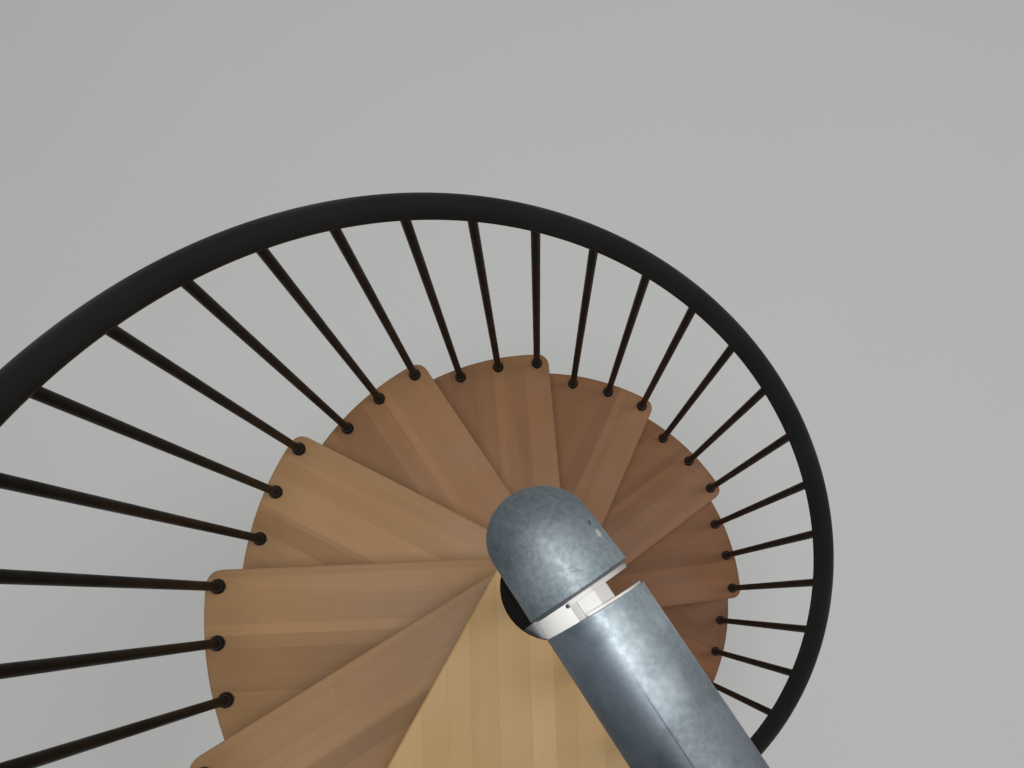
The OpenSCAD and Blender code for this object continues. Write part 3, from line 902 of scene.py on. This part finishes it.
@dataclass
class LandingRail(Assembly):
    """Grey clip-on cover over a cream core: a domed cap, an open gap, and the rail to its rounded end.

    Distances along the rail count from the stair's axis and those aside count to the right. Angles round the
    rail count from its top. lean is how far the cap's wall and its nose lean to the left for each metre.
    """

    height: float = 3.679
    diameter: float = 0.041
    wall: float = 0.0005
    dome_back: float = 0.0145
    nose: float = 0.0193
    flare: float = 0.0008
    lean: Pair = (0.030, 0.060)
    cap_cut: float = 0.0097
    slot: Triple = (-0.0109, 0.0120, 0.035)
    cover_diameter: float = 0.0414
    cover_aside: float = 0.0009
    cover_start: float = 0.0188
    cover_skew: float = 0.056
    rail_end: float = 0.576
    end_rim: float = 0.0006
    soft_edge: float = 0.0003
    seam_side: float = -7.0
    seam_width: float = 0.0005
    seam_depth: float = 0.00006
    seam_from: float = 0.016
    seam_run: float = 0.036
    chip: Triple = (0.0198, 0.0133, 3.6903)
    pit: Triple = (0.0172, 0.0176, 3.6903)
    dent: tuple[Pair, ...] = ((0.0030, 0.00012), (0.0021, 0.00018), (0.0013, 0.00015))
    stem: float = 0.0126
    pad_sides: Triple = (-0.0046, 0.0036, 0.0090)
    pad_heights: Triple = (0.0056, 0.0163, 0.0177)
    foot_diameter: float = 0.0427
    foot_top: float = 3.6404
    foot_depth: float = 0.0030
    foot_soft: float = 0.0016
    foot_shift: float = 0.0027
    foot_from: float = 0.0106
    core: float = 0.0394
    pin_side: float = 21.0
    pin_at: float = 0.0117
    cream: CreamCore = CreamCore("light_core")

    def place(self, aside: float = 0.0) -> Matrix:
        """The rail's own frame, with Z along the rail and X down, moved to the right."""
        return placed(RAIL_ANGLE, 0.0, RAIL_SHIFT + aside, self.height, 90.0)

    def skew(self) -> Matrix:
        """The tilt of the cut at the cover's near end, which isn't quite square to the rail."""
        return Matrix(((1, 0, 0, 0), (0, 1, 0, 0), (0, self.cover_skew, 1, 0), (0, 0, 0, 1)))

    def build(self) -> None:
        """Makes the cap, the cover and the far end, and dresses the core."""
        self._cap()
        self._cover()
        self.shop.dress(self.cream, "rail_connector")
        # Painted light: a brighter copy of the cream for the core that shows in the notch.
        self.shop.dress(CreamCore("painted_light_core", (0.86, 0.86, 0.85), (0.79, 0.77, 0.73)), "landing_rail_core")
        # Painted shadow: the core's ring at the cap's cut is near-black, for the shade under the cap's edge.
        core_edge_shadow = (0.09, 0.095, 0.10)
        self.shop.dress(CreamCore("shadowed_core_edge", core_edge_shadow, (0.06, 0.063, 0.066), core_edge_shadow), "rail_dome_core")
        self._lips()
        self._pad()
        self._end_lip()
        self._foot()
        # A dark pin put where a small shadow gap shows at the corner of the notch; its dark steel stands in
        # for that shade.
        bm = bmesh.new()
        spot = placed(self.pin_side, -self.core / 2, 0.0, self.pin_at)
        spot = self.place() @ spot @ Matrix.Rotation(-math.pi / 2, 4, "Y")
        Fastener(Drive.CROSS, 0.0016, 0.0003).add_to(bm, spot)
        self.shop.piece("core_pin", bm, DARK_STEEL, "steel")

    def _cap(self) -> None:
        """Makes the domed cap, open at its cut."""
        # The cap's coat carries a painted highlight near the cut, painted shade on its far left side and a
        # painted shadow line along the cut.
        crazed = MottledGrey(
            "grey_cap", (0.134, 0.158, 0.179), (0.079, 0.103, 0.119), roughness=0.48, patch=0.3, crazing=0.45,
            chip=self.chip, pit=self.pit, edge=(-RAIL_ANGLE, self.cap_cut),
            rubbed_and_highlit=Fade(-RAIL_ANGLE, -0.020, 0.001, 1.0, 1.75),
            fade_and_side_shade=Fade(RAIL_ANGLE + 90.0, -0.95, -0.30, 0.66)
        )
        r, back, cut, ring = self.diameter / 2, self.dome_back, self.cap_cut, 0.001
        inner, cavity = r - self.wall, self.nose - self.wall
        dome = [(r * math.sin(t), -back - self.nose * math.cos(t)) for t in quarter(14)]
        hollow = [(inner * math.sin(t), -back - cavity * math.cos(t)) for t in reversed(quarter(10))]
        skirt = [(r + self.flare * k * ring / (back + cut), -back + ring * k) for k in range(1, 24)]
        shape = dome + skirt + [(r + self.flare, cut), (inner + self.flare, cut)] + hollow
        outer_corner = len(dome) + len(skirt)
        shape = rounded(shape, outer_corner, self.soft_edge)
        bm = bmesh.new()
        turned(bm, rounded(shape, outer_corner + 5, self.soft_edge * 0.6), self.place(), 120)
        self._lean(bm)
        pit = Vector(self.pit)
        inward = (self.place().translation - pit).normalized()
        for reach, depth in self.dent:
            near = [v for v in bm.verts if (v.co - pit).length < reach]
            bmesh.ops.translate(bm, verts=near, vec=inward * depth)
        self._slot(self.shop.piece("rail_cap", bm, crazed, "grey_cover", ("rail_dome",), 50.0))

    def _cover(self) -> None:
        """Makes the rail's cover and its rounded far end."""
        outer, aside = self.cover_diameter / 2, self.cover_aside
        seam_at = RAIL_SHIFT + aside + outer * math.sin(math.radians(self.seam_side))
        seam = (-RAIL_ANGLE, seam_at, self.seam_width * 0.9, self.cover_start + self.seam_from)
        # The cover's coat carries a painted highlight that fades away from the cut, and painted light on its
        # right side with painted shade on its left.
        grey = MottledGrey(
            "grey_cover", seam=seam,
            rubbed_and_highlit=Fade(-RAIL_ANGLE, 0.085, 0.022, 0.72, 1.64),
            fade_and_side_shade=Fade(RAIL_ANGLE + 90.0, -0.55, 0.18, 0.50, 1.64)
        )
        spans = [self.cover_start + 0.006 * k for k in range(13)]
        spans += [spans[-1] + (self.rail_end - spans[-1]) * k / 8 for k in range(1, 9)]
        inner = outer - self.wall
        shape = [(inner, spans[0])] + [(outer, z) for z in spans] + [(inner, spans[-1]), (inner, spans[0])]
        bm = bmesh.new()
        turned(bm, rounded(shape, 1, self.soft_edge), self.place(aside), 240)
        self._reshape(bm, self.skew(), self.cover_start + 0.001)
        self._seam(bm)
        pressed = Matrix.Diagonal((self.diameter / self.cover_diameter, 1.0, 1.0, 1.0))
        self._reshape(bm, pressed)
        self.shop.piece("landing_rail_cover", bm, grey, "grey_cover", ("landing_rail",), 50.0)
        base, reach = self.rail_end, self.diameter / 2 - self.end_rim
        shape = [(0, base), (outer - 0.0009, base), (outer - 0.0002, base + 0.0004)]
        shape += [(outer * math.cos(t), base + self.end_rim + reach * math.sin(t)) for t in quarter(14)]
        bm = bmesh.new()
        turned(bm, shape, self.place(aside), 72)
        self._reshape(bm, pressed)
        self.shop.piece("landing_rail_cap", bm, grey, "grey_cover", ("landing_rail_end",), 50.0)

    def _seam(self, bm: BMesh) -> None:
        """Presses the cover's long seam into its shell.

        Args:
            bm: The bmesh of the cover.
        """
        place, r, seam = self.place(self.cover_aside), self.cover_diameter / 2, math.radians(self.seam_side)
        for k in (-1, 0, 1):
            turn = seam + k * self.seam_width / 2 / r
            normal = place.to_3x3() @ Vector((math.sin(turn), math.cos(turn), 0.0))
            whole = bm.verts[:] + bm.edges[:] + bm.faces[:]
            bmesh.ops.bisect_plane(bm, geom=whole, dist=1e-6, plane_co=place.translation, plane_no=normal)
        local = place.inverted()
        rings = {}
        for v in bm.verts:
            down, aside, along = local @ v.co
            off = abs(math.atan2(aside, -down) - seam)
            if math.hypot(down, aside) > r - 0.0002 and off < 0.2 * self.seam_width / r:
                rings.setdefault(round(along, 4), []).append(v)
        for along, verts in rings.items():
            share = min(1.0, max(0.0, (along - self.cover_start - self.seam_from) / self.seam_run))
            scale = (r - self.seam_depth * share) / r
            pressed = Matrix.Diagonal((scale, scale, 1.0, 1.0))
            bmesh.ops.transform(bm, matrix=place @ pressed @ local, verts=verts)

    def _reshape(self, bm: BMesh, change: Matrix, reach: float = 1.0) -> None:
        """Applies a change in the cover's own frame.

        Args:
            bm: The bmesh of one of the cover's pieces.
            change: The change.
            reach: Distance along the rail up to which vertices move.
        """
        place = self.place(self.cover_aside)
        local = place.inverted()
        near = [v for v in bm.verts if (local @ v.co).z < reach]
        bmesh.ops.transform(bm, matrix=place @ change @ local, verts=near)

    def _lean(self, bm: BMesh) -> None:
        """Leans the cap to the left from its cut on, its nose a little more, and keeps its flare off the top.

        Args:
            bm: The bmesh of the cap.
        """
        place, back, r = self.place(), self.dome_back, self.diameter / 2
        local, turn = place.inverted(), place.to_3x3()
        wall, nose = self.lean
        for v in bm.verts:
            down, _, along = local @ v.co
            left = wall * (self.cap_cut - max(along, -back)) + nose * max(0.0, -back - along)
            flare = self.flare * max(0.0, along + back) / (back + self.cap_cut)
            v.co += turn @ Vector((down * (r / (r + flare) - 1.0), -left, 0.0))

    def _strip(self, radii: Pair, ends: Pair, sides: Pair, aside: float = 0.0) -> BMesh:
        """Makes a curved strip that follows the rail's skin.

        Args:
            radii: Inner and outer radius.
            ends: Where it starts and stops along the rail.
            sides: Angles of its left and right edge.
            aside: How far it stands to the right of the centre line.

        Returns:
            The strip's bmesh.
        """
        bm = bmesh.new()
        loop = [(radii[0], ends[0]), (radii[1], ends[0]), (radii[1], ends[1]), (radii[0], ends[1])]
        verts = [bm.verts.new(Vector((-r, 0.0, z))) for r, z in loop]
        edges = [bm.edges.new((verts[k - 1], verts[k])) for k in range(4)]
        left, span = math.radians(sides[0]), sides[1] - sides[0]
        bmesh.ops.rotate(bm, verts=verts, cent=(0, 0, 0), matrix=Matrix.Rotation(-left, 3, "Z"))
        steps = max(3, round(span / 4))
        geom, angle = verts + edges, math.radians(span)
        bmesh.ops.spin(bm, geom=geom, cent=(0, 0, 0), axis=(0, 0, -1), angle=angle, steps=steps)
        bmesh.ops.holes_fill(bm, edges=[e for e in bm.edges if e.is_boundary], sides=4)
        bmesh.ops.recalc_face_normals(bm, faces=bm.faces)
        bevelled(bm, [e for e in bm.edges if len(e.link_faces) == 2 and e.calc_face_angle() > 1.0], 0.0002, 2)
        bmesh.ops.transform(bm, matrix=self.place(aside), verts=bm.verts)
        return bm

    def _lips(self) -> None:
        """Adds the core's lips that show in the gap, under the cap and beside the notch."""
        r, cut, start = self.core / 2, self.cap_cut, self.cover_start
        lips = self._strip((r - 0.0024, r + 0.00005), (cut + 0.00065, cut + 0.0025), (-19.2, 82.0))
        self.shop.piece("core_lips", lips, self.cream, "light_core")
        # Painted shade: the joint strip is a greyer copy of the cream, for the shade of its step.
        grey = CreamCore("core_joint", (0.54, 0.535, 0.52), (0.48, 0.465, 0.44), (0.42, 0.41, 0.39))
        joint = self._strip((r - 0.0036, r - 0.0004), (cut + 0.0012, start + 0.003), (-20.6, -11.2))
        self.shop.piece("core_joint", joint, grey, "light_core")

    def _pad(self) -> None:
        """Adds the pad on the connector's bar, which fills the notch up to its sloping outer side."""
        left, crest, right = self.pad_sides
        foot, shoulder, top = self.pad_heights
        outline = [(left, foot), (right, foot), (right, shoulder), (crest, top), (left, top)]
        near = self.cap_cut + 0.0010
        reach = self.cover_start + 0.004 - self.cap_cut
        bm = prism([Vector((-up, side, near)) for side, up in outline], (0, 0, reach))
        bevelled(bm, [e for e in bm.edges if e.calc_face_angle(0.0) > 0.2], 0.0005, 3)
        bmesh.ops.transform(bm, matrix=self.place(), verts=bm.verts)
        self.shop.piece("connector_pad", bm, self.cream, "light_core")

    def _end_lip(self) -> None:
        """Adds the core's bright lip in the cover's near end."""
        r, start = self.core / 2, self.cover_start
        # Painted light: a brighter copy of the cream for the lip in the cover's near end.
        bright = CreamCore("painted_light_lip", (0.80, 0.80, 0.79), (0.74, 0.72, 0.68), (0.68, 0.67, 0.65))
        ends = (start - 0.0010, start + 0.0022)
        end_lip = self._strip((r - 0.0024, r + 0.0001), ends, (-11.6, 88.0), self.cover_aside)
        self._reshape(end_lip, self.skew())
        self.shop.piece("cover_end_lip", end_lip, bright, "light_core")

    def _foot(self) -> None:
        """Adds the rounded edge of the connector's foot, where it shows below the gap."""
        r, top, soft = self.foot_diameter / 2, self.foot_top, self.foot_soft
        edge = [(r - soft + soft * math.sin(t), top - soft + soft * math.cos(t)) for t in quarter(6)]
        shape = [(0, top)] + edge + [(r, top - self.foot_depth), (0, top - self.foot_depth)]
        bm = bmesh.new()
        turned(bm, shape, placed(RAIL_ANGLE, self.foot_shift), 96)
        stem_side = RAIL_SHIFT - self.stem / 2 - 0.001
        level = placed(RAIL_ANGLE)
        for point, normal in (((self.foot_from, 0, top), (1, 0, 0)), ((0, stem_side, top), (0, -1, 0))):
            cut = bmesh.ops.bisect_plane(
                bm, geom=bm.verts[:] + bm.edges[:] + bm.faces[:], dist=1e-7, plane_co=level @ Vector(point),
                plane_no=level.to_3x3() @ Vector(normal), clear_inner=True
            )["geom_cut"]
            bmesh.ops.contextual_create(bm, geom=only(cut, BMEdge))
        # Painted shadow: the foot's edge is a darker, bluish copy of the cream that darkens further towards
        # the left, for the cap's shadow on it.
        colours = (0.42, 0.455, 0.50), (0.38, 0.40, 0.43), (0.34, 0.36, 0.39)
        shaded = CreamCore("shaded_foot", *colours, shaded=Fade(-RAIL_ANGLE, -0.0175, -0.0136, 0.36))
        self.shop.piece("connector_foot_edge", bm, shaded, "light_core")

    def _slot(self, piece: bpy.types.Object) -> None:
        """Cuts the open slot in the cap's underside, where the connector's stem stands.

        Args:
            piece: The cap.
        """
        half, (back, front, depth) = self.stem / 2, self.slot
        turns = [math.pi * k / 24 for k in range(25)]
        outline = [(half, front), (-half, front)]
        outline += [(-half * math.cos(t), back - half * math.sin(t)) for t in turns]
        bm = prism([Vector((0.0, side, along)) for side, along in outline], (depth, 0.0, 0.0))
        bmesh.ops.transform(bm, matrix=self.place(), verts=bm.verts)
        cutter = shown("slot_cutter", mesh_of(bm, "slot_cutter"))
        cut = piece.modifiers.new("slot", "BOOLEAN")
        cut.operation, cut.solver, cut.object = "DIFFERENCE", "EXACT", cutter
        bpy.context.view_layer.update()
        done = piece.evaluated_get(bpy.context.evaluated_depsgraph_get())
        piece.data = bpy.data.meshes.new_from_object(done)
        piece.modifiers.clear()
        bpy.data.objects.remove(cutter)


@dataclass
class Flight(Assembly):
    """The twelve treads and the landing, dressed in staves that follow each front edge."""

    nose_lead: float = 5.6
    light: Colour = (0.342, 0.194, 0.084)
    dark: Colour = (0.224, 0.120, 0.047)
    # Painted shade and warm light: factors that darken and redden the lower treads.
    lower_shade_tint: Colour = (0.66, 0.48, 0.37)
    landing_grain: float = 264.0
    landing_light: Colour = (0.428, 0.275, 0.118)
    landing_dark: Colour = (0.350, 0.218, 0.084)
    pale_bands: tuple[float, ...] = (0.12, 0.09, 0.16, 0.13, 0.11, 0.15, 0.10, 0.14, 0.12, 0.16, 0.115, 0.10)

    def build(self) -> None:
        """Dresses the treads and the landing."""
        for n, band in enumerate(self.pale_bands, 1):
            front = EXIT_ANGLE - (TREADS + 1 - n) * PITCH - self.nose_lead
            light, dark = self.tinted(self.light, n), self.tinted(self.dark, n)
            wood = StaveWood(f"tread_wood_{n:02d}", front, light, dark, float(n), band)
            self.shop.dress(wood, f"tread_{n:02d}")
            LOG.info("tread_%02d: staves at %.1f degrees", n, front)
        boards = StaveWood(
            "landing_wood", self.landing_grain, self.landing_light, self.landing_dark, seed=21.0,
            pale_band=-9.0, band_lift=0.0, edge_offset=0.3, stave_width=0.036
        )
        self.shop.dress(boards, "landing_platform")

    def tinted(self, colour: Colour, n: int) -> Colour:
        """A wood colour on tread n: the lower half of the flight is a little darker and redder, as painted
        shade and warm light.
        """
        share = min(1.0, max(0.0, (10 - n) / 5)) ** 0.45
        return tuple(c * (1.0 + (t - 1.0) * share) for c, t in zip(colour, self.lower_shade_tint))


@dataclass
class Column(Assembly):
    """Base flange, centre pole, spacer sleeves and newel post, with the flange's floor bolts."""

    bolt_count: int = 6
    bolt_circle: float = 0.240
    flange_top: float = 0.012

    def build(self) -> None:
        """Dresses the column and adds the floor bolts, each with its head turned another way."""
        self.shop.dress(BlackPaint("black_steel"), "base_flange", "centre_pole", "column_spacers")
        self.shop.dress(BlackPaint("black_newel", roughness=0.60, gloss=0.05), "newel_post")
        bm = bmesh.new()
        bolt = Fastener(Drive.HEXAGON, 0.018, 0.0075, washer=0.024, washer_thickness=0.0025)
        for k in range(self.bolt_count):
            angle = math.radians((k + 0.5) * 360 / self.bolt_count)
            at = Vector((math.cos(angle), math.sin(angle), 0)) * self.bolt_circle / 2
            at.z = self.flange_top
            bolt.add_to(bm, Matrix.Translation(at) @ Matrix.Rotation(angle * 3.7 + k, 4, "Z"))
        self.shop.piece("floor_bolts", bm, ZINC, "steel")


@dataclass
class Balustrade(Assembly):
    """Balusters with their collars, nuts and foot, and the collars' set screws."""

    radius: float = 0.576
    collar: float = 0.027
    screw_sunk: float = 0.0002
    screw_height: float = 0.0045

    def build(self) -> None:
        """Dresses the balusters and adds a set screw to each collar, on the side that faces the column."""
        rods = [f"balusters_{n:02d}" for n in range(1, TREADS + 1)]
        rods += ["exit_baluster", "landing_balusters", "end_post"]
        self.shop.dress(BlackPaint("black_rods", roughness=0.46), *rods)
        fittings = ("baluster_collars", "baluster_nuts", "floor_foot", "end_post_foot")
        self.shop.dress(BlackPaint("black_fittings", roughness=0.40, gloss=0.25), *fittings)
        bm = bmesh.new()
        screw = Fastener(Drive.SOCKET, 0.005, 0.0012)
        face = self.radius - self.collar / 2 - self.screw_sunk
        for n in range(1, TREADS + 1):
            middle = EXIT_ANGLE - (TREADS + 1 - n) * PITCH
            for j in (-1, 0, 1, 2):
                angle, level = middle + j * PITCH / 3, n * RISE + self.screw_height
                screw.add_to(bm, placed(angle, face, 0.0, level, -90.0))
        self.shop.piece("collar_set_screws", bm, DARK_STEEL, "steel")


@dataclass
class Fixings(Assembly):
    """Landing brackets with their bolts, and the screws of the end post's foot."""

    landing_middle: float = 264.15
    bracket_spread: float = 17.0
    bracket_face: float = 0.6003
    bracket_width: float = 0.060
    hole_height: float = 2.630
    post_reach: float = 0.556
    foot_top: float = 2.710
    foot_circle: float = 0.057

    def build(self) -> None:
        """Dresses the brackets and adds the bolts and screws."""
        self.shop.dress(ZINC, "landing_brackets")
        bm = bmesh.new()
        bolt = Fastener(Drive.HEXAGON, 0.013, 0.0055, washer=0.018, washer_thickness=0.0016)
        for side in (-1, 1):
            angle = self.landing_middle + side * self.bracket_spread
            for aside in (-self.bracket_width / 4, self.bracket_width / 4):
                bolt.add_to(bm, placed(angle, self.bracket_face, aside, self.hole_height, -90.0))
        self.shop.piece("bracket_bolts", bm, ZINC, "steel")
        bm = bmesh.new()
        screw = Fastener(Drive.CROSS, 0.0085, 0.0014)
        centre = placed(RAIL_ANGLE, self.post_reach, RAIL_SHIFT, self.foot_top)
        for turn in (45, 135, 225, 315):
            x, y = (part(math.radians(turn)) * self.foot_circle / 2 for part in (math.cos, math.sin))
            screw.add_to(bm, centre @ Matrix.Translation((x, y, 0)))
        self.shop.piece("post_foot_screws", bm, ZINC, "steel")


@dataclass
class Studio(Assembly):
    """Pale floor, soft lamps, even world light and the camera at the photographed angle."""

    floor_size: float = 40.0
    lit_height: float = 3.68
    lamp_distance: float = 6.5
    camera_at: Triple = (-0.0051, -0.0078, 4.0496)
    camera_turn: Triple = (12.56, 1.57, -8.0)
    lens: float = 34.32
    world_level: float = 0.28
    world_tint: Colour = (1.0, 0.955, 0.90)

    def build(self) -> None:
        """Makes the floor, the light and the camera."""
        bm = bmesh.new()
        bmesh.ops.create_grid(bm, x_segments=1, y_segments=1, size=self.floor_size / 2)
        mesh = mesh_of(bm, "floor")
        mesh.materials.append(self.shop.coat(FloorPaint("floor_paint")))
        shown("floor", mesh)
        self._lamp("key", Vector((-0.020, -0.027, 0.99)), 1.9, 0.50)
        self._lamp("side", Vector((0.560, 0.060, 0.826)), 2.6, 0.22)
        self._world()
        self._camera()

    def _lamp(self, name: str, direction: Vector, size: float, level: float) -> None:
        """Adds a round soft lamp that points at the top of the stair.

        Args:
            name: Name of the lamp.
            direction: From the stair's top to the lamp.
            size: Diameter of the lamp.
            level: Share of full light that it gives 1.2 m below the stair's top.
        """
        light = bpy.data.lights.new(name, "AREA")
        light.shape, light.size = "DISK", size
        light.energy = level * math.pi ** 2 * (self.lamp_distance + 1.2) ** 2
        lamp = shown(name, light)
        direction = direction.normalized()
        lamp.location = Vector((0, 0, self.lit_height)) + direction * self.lamp_distance
        lamp.rotation_mode = "QUATERNION"
        lamp.rotation_quaternion = direction.to_track_quat("Z", "Y")
        lamp.visible_camera = False

    def _world(self) -> None:
        """Even light from all round, with a pale background for what sees it directly."""
        g = Graph(bpy.data.worlds.new("studio"))
        even = g.add("Background", {"Color": self.world_tint, "Strength": self.world_level}).outputs[0]
        pale = g.add("Background", {"Color": BACKDROP}).outputs[0]
        mixed = g.add("MixShader", {0: g.seen(), 1: even, 2: pale}).outputs[0]
        g.add("OutputWorld", {"Surface": mixed})
        bpy.context.scene.world = g.holder

    def _camera(self) -> None:
        """Adds the camera that looks down past the landing rail."""
        data = bpy.data.cameras.new("camera")
        data.lens, data.sensor_width, data.sensor_fit = self.lens, 36.0, "HORIZONTAL"
        data.clip_start, data.clip_end = 0.01, 100.0
        camera = shown("camera", data)
        camera.location = self.camera_at
        camera.rotation_euler = [math.radians(a) for a in self.camera_turn]
        bpy.context.scene.camera = camera
        bpy.context.scene.view_settings.view_transform = "Standard"


def main() -> None:
    """Builds every sub-assembly in order."""
    logging.basicConfig(level=logging.INFO, format="%(name)s %(message)s")
    shop = Workshop()
    for assembly in (Flight, Column, Balustrade, Handrail, LandingRail, Fixings, Studio):
        assembly(shop).build()
        LOG.info("%s is done", assembly.__name__)


if __name__ == "__main__":
    main()
